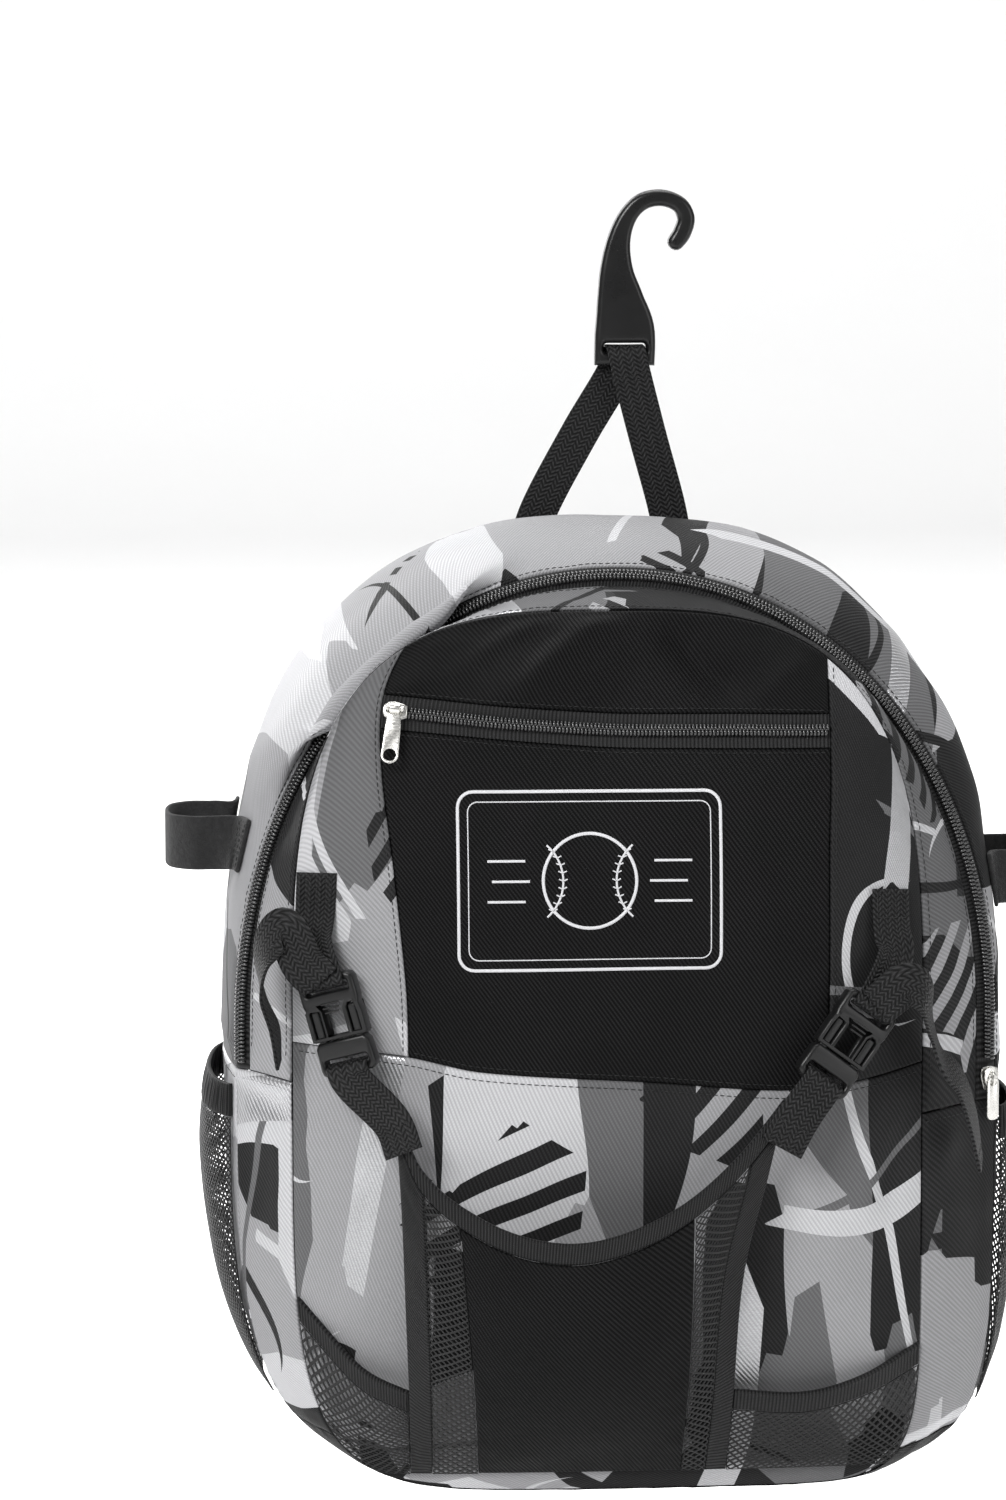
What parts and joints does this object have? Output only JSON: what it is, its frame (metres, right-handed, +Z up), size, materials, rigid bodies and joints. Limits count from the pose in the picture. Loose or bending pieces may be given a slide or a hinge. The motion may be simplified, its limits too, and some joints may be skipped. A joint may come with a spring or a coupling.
{
  "type": "baseball bat backpack",
  "caption": "Baseball backpack hanging from its fence hook, with arched main zip, front pocket, net glove pouch, net side pockets, bat straps, buckled straps and padded shoulder straps.",
  "frame": {"origin": "inner crown of the fence hook, where the hook rests on a fence rail", "axes": "+Z up, front of the bag faces -Y, +X is to the right as seen from the front, the wearer's back faces the bag's +Y side"},
  "size_m": [0.4096, 0.2763, 0.5859],
  "materials": {
    "printed_polyester": "woven polyester with a grey, black and white printed pattern",
    "black_twill": "black twill weave",
    "padded_twill": "black padded twill",
    "net": "black open net",
    "grosgrain": "ribbed black tape",
    "webbing": "black flat-woven webbing",
    "hook_and_loop": "black napped hook and loop tape",
    "plastic": "satin black plastic",
    "nickel": "bright nickel",
    "zip": "black nylon coil and tape"
  },
  "bodies": {
    "bag": {"gusset_arch": "printed_polyester", "gusset_left": "printed_polyester", "gusset_right": "printed_polyester", "lower_front_left": "printed_polyester", "lower_front_right": "printed_polyester", "front_facing": "printed_polyester", "face_left": "printed_polyester", "face_right": "printed_polyester", "face_lower": "printed_polyester", "bottom_panel": "black_twill", "face_center_top": "black_twill", "face_center": "black_twill", "pouch_center": "black_twill", "back_panel": "padded_twill", "shoulder_pad_left": "padded_twill", "shoulder_pad_right": "padded_twill", "pouch_mesh_left": "net", "pouch_mesh_right": "net", "band_mesh_left": "net", "band_mesh_right": "net", "side_mesh_left": "net", "side_mesh_right": "net", "pouch_rim": "grosgrain", "pouch_binding_left": "grosgrain", "pouch_binding_right": "grosgrain", "band_binding_left": "grosgrain", "band_binding_right": "grosgrain", "elastic_left": "grosgrain", "elastic_right": "grosgrain", "strap_upper_left": "webbing", "strap_upper_right": "webbing", "strap_lower_left": "webbing", "strap_lower_right": "webbing", "strap_tail_left": "webbing", "strap_tail_right": "webbing", "hook_webbing": "webbing", "shoulder_webbing_left": "webbing", "shoulder_webbing_right": "webbing", "bat_strap_left": "hook_and_loop", "bat_strap_right": "hook_and_loop", "buckle_socket_left": "plastic", "buckle_prong_left": "plastic", "buckle_socket_right": "plastic", "buckle_prong_right": "plastic", "fence_hook": "plastic", "adjuster_left": "plastic", "adjuster_right": "plastic", "main_zip_slider": "nickel", "pocket_slider": "nickel", "main_zip_tape": "zip", "main_zip_coil": "zip", "pocket_zip_tape": "zip", "pocket_zip_coil": "zip"},
    "zip_pull": {"pocket_pull": "nickel"}
  },
  "joints": [
    {"name": "pull_swing", "type": "hinge", "parent": "bag", "child": "zip_pull", "pos_m": [-0.13383, -0.1545, -0.21626], "axis": [-0.9885, 0.1124, 0.1011], "range_deg": [0, 150]}
  ]
}
